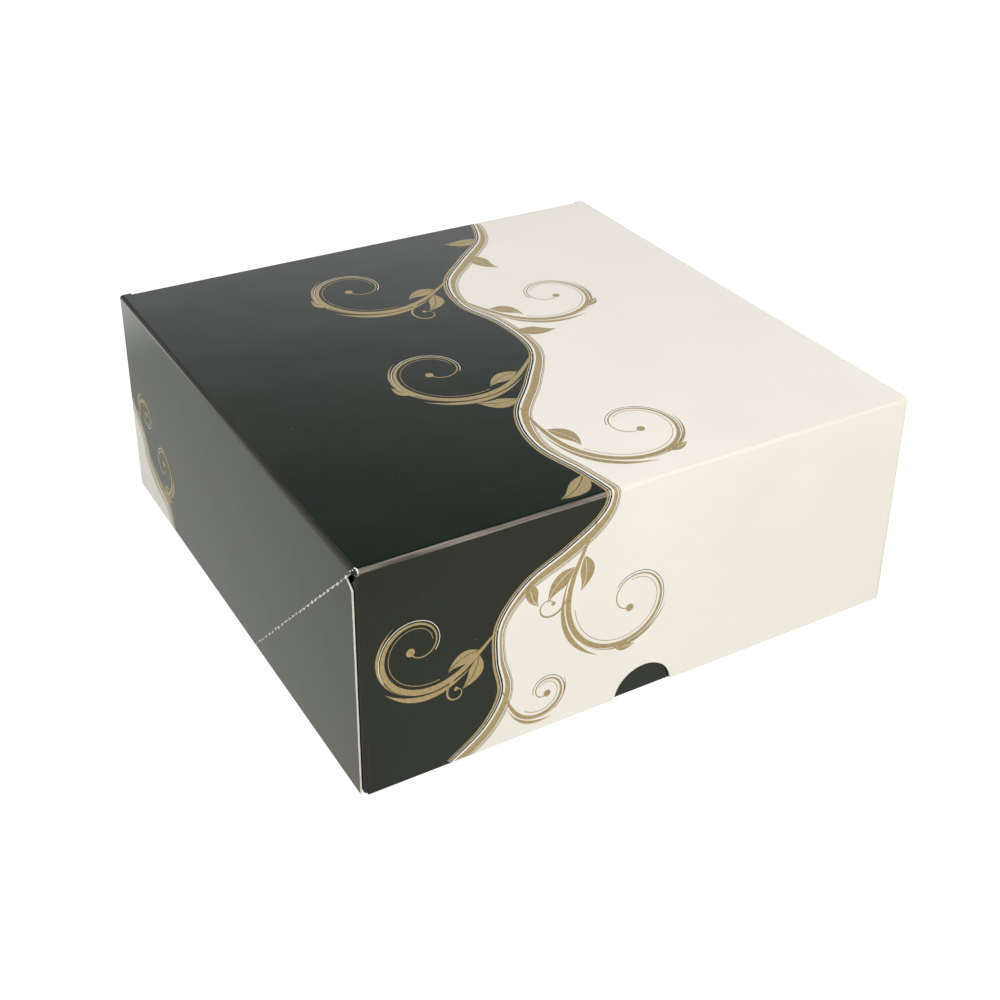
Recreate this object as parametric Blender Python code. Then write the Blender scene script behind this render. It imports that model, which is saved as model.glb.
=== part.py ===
# Bakery box: a flat-packed cake box of coated folding boxboard, glued at six corners.
# A full-depth lid hinges on the tray's back wall, and its three skirts drop over the tray.
# Metres, +X to the right, +Y to the back, +Z up, with the origin under the middle of the box.
import math

import bpy
from mathutils import Matrix, Vector

# Outer sizes
LID_WIDTH = 0.250
LID_DEPTH = 0.244
BOX_HEIGHT = 0.100

# Board, folds and glue
BOARD = 0.0007
FOLD_GAP = 0.0003
TOP_CREASE_RADIUS = 0.0018
BASE_CREASE_RADIUS = 0.0014
CORNER_CREASE_RADIUS = 0.0012
GLUE_FILM = 0.0002
GLUE_GAP = 0.0001

# Lid skirts, which lean out a little towards their lower edges
SKIRT_GAP = 0.001
SIDE_FLARE = 0.0015
FRONT_FLARE = 0.003
LID_REAR_GAP = 0.001
HINGE_END_INSET = 0.0055

# Room between the lid and the tray
SIDE_CLEARANCE = 0.0008
FRONT_CLEARANCE = 0.001
FRONT_FOOT_CLEARANCE = 0.0006
RIM_GAP = 0.0005

# Folding corners: a gusset beyond the diagonal of each side, glued over a tab
GUSSET_RELIEF = 0.006
GUSSET_KNEE_DROP = 0.009
GUSSET_SETBACK = 0.0018
TAB_WIDTH = 0.026
TAB_MARGIN = 0.003
TAB_TAPER = 0.006
TAB_END_GAP = 0.001
GLUE_WIDTH = 0.008
GLUE_INSET = 0.014
GLUE_END_MARGIN = 0.009

# Thumb notch in the lid's front, a little left of the middle
NOTCH_OFFSET = -0.0018
NOTCH_RADIUS = 0.0139
NOTCH_DROP = 0.0013
NOTCH_FILLET = 0.0012

# Fineness of the round stretches
STRIP_STEPS = 6
NOTCH_STEPS = 24
FILLET_STEPS = 5
GLUE_END_STEPS = 8

# Places that follow from the sizes
back_y = (LID_DEPTH + FRONT_FLARE) / 2
front_y = back_y - LID_DEPTH
side_x = LID_WIDTH / 2
fold_height = BOX_HEIGHT - TOP_CREASE_RADIUS
skirt_drop = fold_height - SKIRT_GAP
side_lean = SIDE_FLARE / skirt_drop
front_lean = FRONT_FLARE / skirt_drop
glued_layer = BOARD + GLUE_FILM + 2 * GLUE_GAP
diagonal_half_gap = FOLD_GAP * math.sqrt(0.5)
tray_x = side_x - glued_layer - BOARD - SIDE_CLEARANCE
rim_height = BOX_HEIGHT - BOARD - RIM_GAP
# The base reaches the lid's skirt, so the tray's front wall leans in: a negative lean
rim_front_y = front_y + BOARD + FRONT_CLEARANCE
tray_front_y = front_y - FRONT_FLARE + BOARD + FRONT_FOOT_CLEARANCE
tray_front_lean = (tray_front_y - rim_front_y) / (rim_height - BASE_CREASE_RADIUS)
tray_depth = back_y - tray_front_y
hinge_half_width = side_x - HINGE_END_INSET

ALONG_X = Vector((1, 0, 0))
ALONG_Y = Vector((0, 1, 0))
UP = Vector((0, 0, 1))


def clear_scene():
    for old in list(bpy.data.objects):
        bpy.data.objects.remove(old)


def new_collection(name):
    collection = bpy.data.collections.new(name)
    bpy.context.scene.collection.children.link(collection)
    return collection


def linear(channel):
    return channel / 12.92 if channel <= 0.04045 else ((channel + 0.055) / 1.055) ** 2.4


def new_material(name, red, green, blue, roughness):
    material = bpy.data.materials.new(name)
    material.use_nodes = True
    shader = material.node_tree.nodes["Principled BSDF"]
    colour = [linear(channel / 255) for channel in (red, green, blue)]
    shader.inputs["Base Color"].default_value = (*colour, 1)
    shader.inputs["Roughness"].default_value = roughness
    shader.inputs["Metallic"].default_value = 0
    material.diffuse_color = (*colour, 1)
    return material


def place(item, carrier, matrix):
    """Hangs the item on its carrier and sets where it is in the world."""
    box.objects.link(item)
    if carrier:
        item.parent = carrier
        item.matrix_parent_inverse = carrier.matrix_world.inverted()
    item.matrix_basis = matrix
    bpy.context.view_layer.update()


def axes_matrix(origin, first, second):
    third = first.cross(second)
    return Matrix.Translation(origin) @ Matrix((first, second, third)).transposed().to_4x4()


def new_plane(name, carrier, origin, along, away):
    """An empty on a panel's outer face: its x follows the crease and its y runs away from it."""
    plane = bpy.data.objects.new(name, None)
    plane.empty_display_size = TAB_WIDTH
    place(plane, carrier, axes_matrix(origin, along.normalized(), away.normalized()))
    return plane


def flat_curve(name, outline, thickness, material):
    """A flat outline cut from sheet, given half its thickness to either side."""
    curve = bpy.data.curves.new(name, "CURVE")
    curve.dimensions = "2D"
    curve.fill_mode = "BOTH"
    curve.extrude = thickness / 2
    spline = curve.splines.new("POLY")
    spline.points.add(len(outline) - 1)
    for point, (across, down) in zip(spline.points, outline):
        point.co = (across, down, 0, 1)
    spline.use_cyclic_u = True
    curve.materials.append(material)
    return bpy.data.objects.new(name, curve)


def new_plate(name, outline, plane, inward, depth, thickness, material):
    """A sheet in a panel's plane, its outer face the given depth below that plane."""
    plate = flat_curve(name, outline, thickness, material)
    lift = Matrix.Translation((0, 0, inward * (depth + thickness / 2)))
    place(plate, plane, plane.matrix_world @ lift)
    return plate


def new_crease(name, carrier, middle, first, second, length, radius, material):
    """A strip of board bent a quarter turn round a fold, between the panels that run off both ways."""
    inner = radius - BOARD
    outer_arc = arc_points(radius, radius, radius, 1.5 * math.pi, math.pi, STRIP_STEPS)
    inner_arc = arc_points(radius, radius, inner, math.pi, 1.5 * math.pi, STRIP_STEPS)
    strip = flat_curve(name, outer_arc + inner_arc, length, material)
    place(strip, carrier, axes_matrix(middle, first.normalized(), second.normalized()))
    return strip


def arc_points(centre_x, centre_y, radius, start, end, steps):
    angles = [start + (end - start) * step / steps for step in range(steps + 1)]
    return [(centre_x + radius * math.cos(a), centre_y + radius * math.sin(a)) for a in angles]


def rectangle(left, right, low, high):
    return [(left, low), (right, low), (right, high), (left, high)]


# Outlines at a folding corner: first number from the corner, second from the fold
def gusset_outline(radius, height, lean):
    """The triangle beyond the diagonal, with its tip cut back so that the corner can fold."""
    knee = GUSSET_KNEE_DROP - radius
    diagonal = radius - diagonal_half_gap
    return [
        (GUSSET_RELIEF, GUSSET_RELIEF - diagonal),
        (GUSSET_SETBACK - lean * knee, knee),
        (GUSSET_SETBACK - lean * height, height),
        (height + diagonal, height),
    ]


def tab_outline(radius, height, lean):
    """The tab folded back from the front or back wall, which stays clear of the diagonal."""
    start = CORNER_CREASE_RADIUS + FOLD_GAP
    top = tab_start(radius)
    end = height - TAB_END_GAP
    return [
        (start - lean * top, top),
        (start - lean * end, end),
        (TAB_WIDTH, end - TAB_TAPER),
        (TAB_WIDTH, top + TAB_WIDTH - start),
    ]


def tab_start(radius):
    return CORNER_CREASE_RADIUS + FOLD_GAP + TAB_MARGIN - radius


def glue_outline(radius, height):
    """A bead of glue with round ends, along the middle of the tab."""
    half = GLUE_WIDTH / 2
    low = height - TAB_END_GAP - GLUE_END_MARGIN
    high = tab_start(radius) + GLUE_INSET + GLUE_END_MARGIN
    far_end = arc_points(GLUE_INSET, low, half, 0, math.pi, GLUE_END_STEPS)
    near_end = arc_points(GLUE_INSET, high, half, math.pi, 2 * math.pi, GLUE_END_STEPS)
    return far_end + near_end


def from_other_end(outline, span):
    return [(span - across, down) for across, down in outline]


def glued_corner(name, plane, inward, radius, height, lean, span, material):
    """Gusset, glue and tab of one corner. A span turns the outlines to the panel's far end."""
    layers = (
        ("gusset", gusset_outline(radius, height, lean), 0, BOARD, material),
        ("glue", glue_outline(radius, height), BOARD + GLUE_GAP, GLUE_FILM, glue_white),
        ("tab", tab_outline(radius, height, lean), glued_layer, BOARD, material),
    )
    for layer, outline, depth, thickness, finish in layers:
        if span:
            outline = from_other_end(outline, span)
        new_plate(f"{name}_{layer}", outline, plane, inward, depth, thickness, finish)


def wall_half_width(side_face_x, lean, down):
    """Half the flat width of a front or back wall, between its two upright corner creases."""
    return side_face_x - glued_layer - CORNER_CREASE_RADIUS - FOLD_GAP + lean * down


# The tray, standing on its base
def base_panel():
    plane = new_plane("base_plane", tray, (0, 0, 0), ALONG_X, ALONG_Y)
    edge = BASE_CREASE_RADIUS + FOLD_GAP
    outline = rectangle(-tray_x + edge, tray_x - edge, tray_front_y + edge, back_y - edge)
    new_plate("base_panel", outline, plane, 1, 0, BOARD, printed_black)


def base_creases():
    radius = BASE_CREASE_RADIUS
    middle_y = (tray_front_y + back_y) / 2
    across = 2 * (tray_x - radius - FOLD_GAP)
    along = tray_depth - 2 * (radius + FOLD_GAP)
    creases = (
        ("base_front_crease", (0, tray_front_y, 0), UP, ALONG_Y, across),
        ("base_back_crease", (0, back_y, 0), UP, -ALONG_Y, across),
        ("base_left_crease", (-tray_x, middle_y, 0), UP, ALONG_X, along),
        ("base_right_crease", (tray_x, middle_y, 0), UP, -ALONG_X, along),
    )
    for name, corner, first, second, length in creases:
        new_crease(name, tray, corner, first, second, length, radius, printed_black)


def tray_end_wall(name, wall_y, inward, top, up):
    """The front or the back wall, flat between its corner creases."""
    origin = (0, wall_y, BASE_CREASE_RADIUS)
    plane = new_plane(f"{name}_plane", tray, origin, ALONG_X, up)
    half = wall_half_width(tray_x, 0, 0)
    outline = rectangle(-half, half, FOLD_GAP, top - BASE_CREASE_RADIUS)
    new_plate(name, outline, plane, inward, 0, BOARD, printed_black)


def tray_side(side, sign):
    """A side wall between its diagonals, with a folding corner at either end."""
    radius = BASE_CREASE_RADIUS
    height = rim_height - radius
    origin = (sign * tray_x, tray_front_y, radius)
    plane = new_plane(f"tray_{side}_plane", tray, origin, ALONG_Y, UP)
    diagonal = radius + diagonal_half_gap
    low = FOLD_GAP + diagonal
    high = height + diagonal
    outline = [
        (low, FOLD_GAP),
        (high, height),
        (tray_depth - high, height),
        (tray_depth - low, FOLD_GAP),
    ]
    new_plate(f"tray_{side}_wall", outline, plane, -sign, 0, BOARD, printed_black)
    for end, span, lean in (("front", 0, tray_front_lean), ("back", tray_depth, 0)):
        name = f"tray_{end}_{side}"
        glued_corner(name, plane, -sign, radius, height, lean, span, printed_black)


def tray_corner_creases():
    """The upright folds between the end walls and the tabs behind the gussets."""
    start = BASE_CREASE_RADIUS + tab_start(BASE_CREASE_RADIUS)
    end = rim_height - TAB_END_GAP
    middle = (start + end) / 2
    middle_front_y = tray_front_y - tray_front_lean * (middle - BASE_CREASE_RADIUS)
    inside_front = Vector((0, 1, tray_front_lean))
    corner_x = tray_x - glued_layer
    radius = CORNER_CREASE_RADIUS
    for side, sign in (("left", -1), ("right", 1)):
        for row, wall_y, inside in (
            ("front", middle_front_y, inside_front),
            ("back", back_y, -ALONG_Y),
        ):
            corner = (sign * corner_x, wall_y, middle)
            across = -sign * ALONG_X
            name = f"tray_{row}_{side}_corner_crease"
            new_crease(name, tray, corner, across, inside, end - start, radius, printed_black)


# The lid, carried by the hinge crease at the top of the back wall
def lid_top_panel():
    """The top, square at its back corners, where small ears stay flat beside the hinge crease."""
    plane = new_plane("lid_top_plane", lid, (0, 0, BOX_HEIGHT), ALONG_X, ALONG_Y)
    edge = TOP_CREASE_RADIUS + FOLD_GAP
    half = side_x - edge
    front = front_y + edge
    seam = back_y - edge
    ear = hinge_half_width + FOLD_GAP
    outline = [
        (-half, front),
        (half, front),
        (half, back_y),
        (ear, back_y),
        (ear, seam),
        (-ear, seam),
        (-ear, back_y),
        (-half, back_y),
    ]
    new_plate("lid_top_panel", outline, plane, -1, 0, BOARD, printed_black)


def lid_creases():
    radius = TOP_CREASE_RADIUS
    edge = radius + FOLD_GAP
    across = 2 * (side_x - edge)
    middle_y = (front_y + edge + back_y) / 2
    along = back_y - front_y - edge
    hinge = 2 * hinge_half_width
    creases = (
        ("lid_front_crease", (0, front_y, BOX_HEIGHT), ALONG_Y, -UP, across, printed_cream),
        ("lid_left_crease", (-side_x, middle_y, BOX_HEIGHT), ALONG_X, -UP, along, printed_black),
        ("lid_right_crease", (side_x, middle_y, BOX_HEIGHT), -ALONG_X, -UP, along, printed_cream),
        ("hinge_crease", (0, back_y, BOX_HEIGHT), -ALONG_Y, -UP, hinge, printed_black),
    )
    for name, corner, first, second, length, material in creases:
        new_crease(name, lid, corner, first, second, length, radius, material)


def notch_outline(bottom):
    """Half-moon thumb notch from left to right, its ends eased into the lower edge."""
    reach = NOTCH_RADIUS + NOTCH_FILLET
    drop = NOTCH_DROP + NOTCH_FILLET
    fillet_x = math.sqrt(reach**2 - drop**2)
    ease = math.asin(drop / reach)
    centre = bottom - NOTCH_FILLET
    left_x, right_x = NOTCH_OFFSET - fillet_x, NOTCH_OFFSET + fillet_x
    left = arc_points(left_x, centre, NOTCH_FILLET, math.pi / 2, ease, FILLET_STEPS)
    low = bottom + NOTCH_DROP
    arch = arc_points(NOTCH_OFFSET, low, NOTCH_RADIUS, ease - math.pi, -ease, NOTCH_STEPS)[1:-1]
    right = arc_points(right_x, centre, NOTCH_FILLET, math.pi - ease, math.pi / 2, FILLET_STEPS)
    return left + arch + right


def lid_front_panel():
    origin = (0, front_y, fold_height)
    away = Vector((0, -front_lean, -1))
    plane = new_plane("lid_front_plane", lid, origin, ALONG_X, away)
    top_half = wall_half_width(side_x, side_lean, FOLD_GAP)
    low_half = wall_half_width(side_x, side_lean, skirt_drop)
    outline = [(-top_half, FOLD_GAP), (-low_half, skirt_drop)]
    outline += notch_outline(skirt_drop)
    outline += [(low_half, skirt_drop), (top_half, FOLD_GAP)]
    new_plate("lid_front_panel", outline, plane, 1, 0, BOARD, printed_cream)


def lid_side(side, sign, material):
    """A side skirt, free at the back, with its folding corner at the front."""
    radius = TOP_CREASE_RADIUS
    origin = (sign * side_x, front_y, fold_height)
    away = Vector((sign * side_lean, 0, -1))
    plane = new_plane(f"lid_{side}_plane", lid, origin, ALONG_Y, away)
    diagonal = radius + diagonal_half_gap
    rear = LID_DEPTH - LID_REAR_GAP
    outline = [
        (FOLD_GAP + diagonal, FOLD_GAP),
        (skirt_drop + diagonal, skirt_drop),
        (rear, skirt_drop),
        (rear, FOLD_GAP),
    ]
    new_plate(f"lid_{side}_panel", outline, plane, sign, 0, BOARD, material)
    glued_corner(f"lid_{side}", plane, sign, radius, skirt_drop, front_lean, 0, material)


def lid_corner_creases():
    """The upright folds between the lid's front panel and its tabs, which follow both leans."""
    start = tab_start(TOP_CREASE_RADIUS)
    end = skirt_drop - TAB_END_GAP
    middle = (start + end) / 2
    radius = CORNER_CREASE_RADIUS
    inside = Vector((0, 1, -front_lean))
    for side, sign, material in (("left", -1, printed_black), ("right", 1, printed_cream)):
        down = Vector((sign * side_lean, -front_lean, -1))
        corner = Vector((sign * (side_x - glued_layer), front_y, fold_height)) + middle * down
        across = -sign * down.cross(inside)
        name = f"lid_{side}_corner_crease"
        new_crease(name, lid, corner, across, inside, end - start, radius, material)


clear_scene()
box = new_collection("bakery_box")
printed_black = new_material("printed_black_board", 52, 53, 48, 0.38)
printed_cream = new_material("printed_cream_board", 238, 234, 225, 0.4)
glue_white = new_material("glue_film", 232, 226, 208, 0.3)

tray = bpy.data.objects.new("tray_axes", None)
place(tray, None, Matrix())
lid = bpy.data.objects.new("lid_hinge_axis", None)
place(lid, None, Matrix.Translation((0, back_y, BOX_HEIGHT)))

base_panel()
base_creases()
front_wall_up = Vector((0, -tray_front_lean, 1))
tray_end_wall("tray_front_wall", tray_front_y, -1, rim_height, front_wall_up)
tray_end_wall("tray_back_wall", back_y, 1, fold_height - FOLD_GAP, UP)
tray_side("left", -1)
tray_side("right", 1)
tray_corner_creases()

lid_top_panel()
lid_creases()
lid_front_panel()
lid_side("left", -1, printed_black)
lid_side("right", 1, printed_cream)
lid_corner_creases()
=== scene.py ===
import math
import random
from collections import namedtuple

import bpy
import numpy as np
from mathutils import Matrix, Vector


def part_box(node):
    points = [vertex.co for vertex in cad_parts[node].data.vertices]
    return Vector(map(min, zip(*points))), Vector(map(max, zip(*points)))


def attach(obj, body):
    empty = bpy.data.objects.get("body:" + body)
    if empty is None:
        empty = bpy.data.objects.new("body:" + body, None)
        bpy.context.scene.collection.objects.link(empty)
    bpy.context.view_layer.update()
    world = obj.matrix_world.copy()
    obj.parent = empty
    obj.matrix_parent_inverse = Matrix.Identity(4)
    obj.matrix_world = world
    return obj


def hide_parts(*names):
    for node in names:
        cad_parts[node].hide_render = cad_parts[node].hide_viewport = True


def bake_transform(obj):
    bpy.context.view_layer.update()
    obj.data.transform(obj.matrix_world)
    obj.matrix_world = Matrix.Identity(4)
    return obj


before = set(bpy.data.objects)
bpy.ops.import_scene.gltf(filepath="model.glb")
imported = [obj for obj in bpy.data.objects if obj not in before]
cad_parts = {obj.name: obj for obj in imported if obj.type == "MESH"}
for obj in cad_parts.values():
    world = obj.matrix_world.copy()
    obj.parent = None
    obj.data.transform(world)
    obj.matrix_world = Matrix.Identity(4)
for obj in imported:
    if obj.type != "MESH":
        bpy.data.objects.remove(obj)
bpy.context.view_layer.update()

# The lid's board.
# Coated folding boxboard, 0.7 mm thick, die-cut as one flat sheet and folded up along its crease lines:
# the top, three skirts, and at either front corner a gusset with a tab glued behind it.
BOARD = 0.0007
TOP_CREASE_RADIUS = 0.0018
CORNER_CREASE_RADIUS = 0.0012
# From a side's outer face in to its tab's: the gusset's board and the glue behind it
GLUED_LAYER = 0.0011
# How far the skirts stand out at their lower edges over their height, all in millimetres
SIDE_FLARE = 1.5
FRONT_FLARE = 3
SKIRT_HEIGHT = 97.2
SIDE_LEAN = math.atan(SIDE_FLARE / SKIRT_HEIGHT)
FRONT_LEAN = math.atan(FRONT_FLARE / SKIRT_HEIGHT)
# The skirts end this far above the table, and the side skirts this far short of the back
SKIRT_GAP = 0.001
LID_REAR_GAP = 0.001
# A gusset's edge stands behind the front's face, up to a knee, and a cut above that frees the corner
GUSSET_SETBACK = 0.0018
GUSSET_KNEE_DROP = 0.009
GUSSET_RELIEF = 0.006
# A tab's width, where its slanted upper edge starts, and the gap and the chamfer at its lower end
TAB_REACH = 0.0267
TAB_TOP = 0.0027
TAB_END_GAP = 0.001
TAB_TAPER = 0.006
# The thumb notch: how far right of the middle it is, its radius, how far its centre lies below the
# edge, and the eased ends
NOTCH_OFFSET = -0.0018
NOTCH_RADIUS = 0.0139
NOTCH_DROP = 0.0013
NOTCH_FILLET = 0.0012
FILLET_STEPS = 6
ARCH_STEPS = 30
# Rows of faces across a crease, and the faint ribs that scoring leaves in it
CREASE_STEPS = 18
CORNER_STEPS = 8
CREASE_RIBS = 3
RIB_DEPTH = 0.00005
# Flat strip kept on either side of a crease, so that the panels stay flat right up to it
HOLD = 0.0003
# A hundredth of a millimetre: the slack in telling where a point lies, and how deep a film sinks in
HAIR = 0.00001
# Beyond an end crease, what lies nearer than this to a side crease is end panel or tab, not gusset
TAB_ZONE = 0.03
# Points nearer than this are merged, in a sheet just cut and in one that is being scored
CUT_MERGE = 0.0000002
SCORE_MERGE = 0.0000005
# Edges that turn by more than this aren't shaded smooth
SHARP_EDGE = math.radians(40)

top_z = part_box("lid_top_panel")[1].z
side_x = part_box("lid_right_crease")[1].x
front_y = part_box("lid_front_crease")[0].y
back_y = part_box("hinge_crease")[1].y
hinge_half_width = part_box("hinge_crease")[1].x


def linear(colour):
    """An sRGB hex colour as linear values."""
    channels = [int(colour[place : place + 2], 16) / 255 for place in (0, 2, 4)]
    return [c / 12.92 if c <= 0.04045 else ((c + 0.055) / 1.055) ** 2.4 for c in channels]


def add(tree, kind, values=None, links=None, **settings):
    """Adds one shader node, sets its values and links its sockets."""
    node = tree.nodes.new("ShaderNode" + kind)
    for name, value in settings.items():
        setattr(node, name, value)
    for socket, value in (values or {}).items():
        node.inputs[socket].default_value = value
    for socket, source in (links or {}).items():
        tree.links.new(source, node.inputs[socket])
    return node


def new_finish(name, roughness, ior):
    """Starts a material: gives it, its nodes, its shader and the piece's own coordinates."""
    finish = bpy.data.materials.new(name)
    finish.use_nodes = True
    shader = finish.node_tree.nodes["Principled BSDF"]
    shader.inputs["Roughness"].default_value = roughness
    shader.inputs["IOR"].default_value = ior
    place = add(finish.node_tree, "TexCoord").outputs["Object"]
    return finish, finish.node_tree, shader, place


def cloudy_colour(tree, cloud, dark, light, low=0.35, high=0.65):
    """A colour that drifts between two shades."""
    share = add(tree, "MapRange", {"From Min": low, "From Max": high}, {"Value": cloud})
    # Sockets 6 and 7 of a colour mix are its two colours, 0 is its factor and output 2 its result
    mix = add(
        tree,
        "Mix",
        {6: (*linear(dark), 1), 7: (*linear(light), 1)},
        {0: share.outputs["Result"]},
        data_type="RGBA",
    )
    return mix.outputs[2]


def printed_board(name, dark, light, roughness, ior, speck, speck_share):
    """Offset ink under a satin dispersion varnish: an even colour with faint clouds, a few pinholes,
    and the fine orange peel that the varnish takes from the board's fibres."""
    finish, tree, shader, place = new_finish(name, roughness, ior)
    # Clouds 36 mm across
    cloud = add(tree, "TexNoise", {"Scale": 28, "Detail": 3}, {"Vector": place})
    colour = cloudy_colour(tree, cloud.outputs["Fac"], dark, light)
    # Pinholes and dust 0.6 mm across, about 12 mm apart
    dots = add(tree, "TexVoronoi", {"Scale": 85}, {"Vector": place})
    near = add(
        tree,
        "MapRange",
        {"From Min": 0.035, "From Max": 0.015, "To Max": speck_share},
        {"Value": dots.outputs["Distance"]},
    )
    specked = add(
        tree, "Mix", {7: (*linear(speck), 1)}, {0: near.outputs[0], 6: colour}, data_type="RGBA"
    )
    tree.links.new(specked.outputs[2], shader.inputs["Base Color"])
    # Duller and glossier patches 6 mm across
    patches = add(tree, "TexNoise", {"Scale": 160, "Detail": 4}, {"Vector": place})
    gloss = add(
        tree,
        "MapRange",
        {"To Min": roughness - 0.04, "To Max": roughness + 0.04},
        {"Value": patches.outputs["Fac"]},
    )
    tree.links.new(gloss.outputs["Result"], shader.inputs["Roughness"])
    # The board's own slow waves, 30 mm long, and the orange peel, 0.7 mm
    waves = add(tree, "TexNoise", {"Scale": 33, "Detail": 1}, {"Vector": place})
    peel = add(tree, "TexNoise", {"Scale": 1400, "Detail": 2}, {"Vector": place})
    wavy = add(
        tree, "Bump", {"Strength": 0.2, "Distance": 0.0006}, {"Height": waves.outputs["Fac"]}
    )
    peeled = add(
        tree,
        "Bump",
        {"Strength": 0.12, "Distance": 0.00004},
        {"Height": peel.outputs["Fac"], "Normal": wavy.outputs["Normal"]},
    )
    tree.links.new(peeled.outputs["Normal"], shader.inputs["Normal"])
    return finish


def rubbed_board(name, deep, worn, roughness, ior, low, high, run):
    """The same print crushed along a crease: stretched ink, rubbed paler in streaks 0.5 mm wide and
    30 mm long. The run is the crease's axis, 0 to 2."""
    finish, tree, shader, place = new_finish(name, roughness, ior)
    scale = [2000, 2000, 2000]
    scale[run] = 32
    streaks = add(tree, "Mapping", {"Scale": scale}, {"Vector": place}).outputs["Vector"]
    wear = add(tree, "TexNoise", {"Scale": 1, "Detail": 5, "Roughness": 0.6}, {"Vector": streaks})
    colour = cloudy_colour(tree, wear.outputs["Fac"], deep, worn, low, high)
    tree.links.new(colour, shader.inputs["Base Color"])
    bump = add(
        tree, "Bump", {"Strength": 0.4, "Distance": 0.00008}, {"Height": wear.outputs["Fac"]}
    )
    tree.links.new(bump.outputs["Normal"], shader.inputs["Normal"])
    return finish


def bare_board(name, dark, light, scale, roughness):
    """Uncoated board: matt, with the faint clouds of pressed pulp, so many to the metre, and fibres
    0.4 mm wide."""
    finish, tree, shader, place = new_finish(name, roughness, 1.45)
    pulp = add(tree, "TexNoise", {"Scale": scale, "Detail": 6, "Roughness": 0.65}, {"Vector": place})
    tree.links.new(cloudy_colour(tree, pulp.outputs["Fac"], dark, light), shader.inputs["Base Color"])
    fibres = add(tree, "TexNoise", {"Scale": 2400, "Detail": 3}, {"Vector": place})
    bump = add(
        tree, "Bump", {"Strength": 0.3, "Distance": 0.00005}, {"Height": fibres.outputs["Fac"]}
    )
    tree.links.new(bump.outputs["Normal"], shader.inputs["Normal"])
    return finish


cream_print = printed_board("cream_ink_satin_varnish", "ede8de", "f0ebe1", 0.38, 1.4, "cfc8b8", 0.3)
cream_crease = rubbed_board("cream_ink_at_crease", "e6e0d4", "eee8dc", 0.6, 1.4, 0.35, 0.65, 0)
inner_board = bare_board("white_lined_board_inside", "dcd5c8", "e4ded1", 240, 0.85)
cut_edge = bare_board("die_cut_board_edge", "d3cbbb", "f0ece2", 1800, 0.9)


def deselect_all():
    bpy.ops.object.select_all(action="DESELECT")


def die_cut(name, outlines, low, high, layer=0):
    """Cuts outlines out of a sheet between two heights, each a layer above the last, as one mesh."""
    deselect_all()
    for number, outline in enumerate(outlines):
        curve = bpy.data.curves.new(name, "CURVE")
        curve.dimensions = "2D"
        curve.fill_mode = "BOTH"
        curve.extrude = (high - low) / 2
        spline = curve.splines.new("POLY")
        spline.points.add(len(outline) - 1)
        for point, (x, y) in zip(spline.points, outline):
            point.co = (x, y, 0, 1)
        spline.use_cyclic_u = True
        cut = bpy.data.objects.new(name, curve)
        bpy.context.scene.collection.objects.link(cut)
        cut.location.z = (high + low) / 2 + number * layer
        cut.select_set(True)
        bpy.context.view_layer.objects.active = cut
    bpy.ops.object.convert(target="MESH")
    bpy.ops.object.transform_apply(location=True, rotation=True, scale=True)
    cuts = list(bpy.context.selected_objects)
    bpy.ops.object.mode_set(mode="EDIT")
    bpy.ops.mesh.select_all(action="SELECT")
    bpy.ops.mesh.remove_doubles(threshold=CUT_MERGE)
    bpy.ops.mesh.normals_make_consistent(inside=False)
    bpy.ops.object.mode_set(mode="OBJECT")
    # A sheet this thin can be taken for its own inside, so each cut is turned back by its top face
    for cut in cuts:
        if max(cut.data.polygons, key=lambda face: face.center.z).normal.z < 0:
            cut.data.flip_normals()
    if len(outlines) > 1:
        bpy.ops.object.join()
    piece = bpy.context.view_layer.objects.active
    piece.name = piece.data.name = name
    return piece


# An end panel: its sign along y, where its bend starts, its lean and angle, and where it's flat again
End = namedtuple("End", "sign start_v lean angle flat_v")


class Blank:
    """A flat sheet with side panels along x and end panels along y, and what folding it up takes: its
    outer face's height and the way that it faces, the bends' radius, where the side bends start, the
    sides' lean, the end panels, and half an end panel's width up to its tabs."""

    def __init__(self, z, up, radius, start_u, side_lean, ends, edge_u):
        self.z = z
        self.up = up
        self.radius = radius
        self.start_u = start_u
        self.edge_u = edge_u
        self.side_lean = side_lean
        self.side_angle = math.pi / 2 - side_lean
        self.flat_u = start_u + radius * self.side_angle
        self.ends = []
        for sign, start_v, lean in ends:
            angle = math.pi / 2 - lean
            self.ends.append(End(sign, start_v, lean, angle, start_v + radius * angle))

    def creased(self, centre):
        """Whether a point of the flat sheet lies in one of the bends."""
        u = abs(centre.x)
        if u > self.flat_u:
            return False
        if any(end.start_v < end.sign * centre.y < end.flat_v for end in self.ends):
            return True
        in_end = any(end.sign * centre.y > end.flat_v for end in self.ends)
        return u > (self.edge_u if in_end else self.start_u)


def crease_lines(first, last, steps):
    """Where a bend is scored: evenly across it, and once in the flat board before and after it."""
    across = [first + (last - first) * step / steps for step in range(steps + 1)]
    return [first - HOLD, *across, last + HOLD]


def cut_edges(planes):
    """Cuts a line of edges right across the mesh in edit mode at each plane, a point and a normal."""
    for point, normal in planes:
        bpy.ops.mesh.select_all(action="SELECT")
        bpy.ops.mesh.bisect(plane_co=point, plane_no=normal, threshold=SCORE_MERGE)


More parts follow.
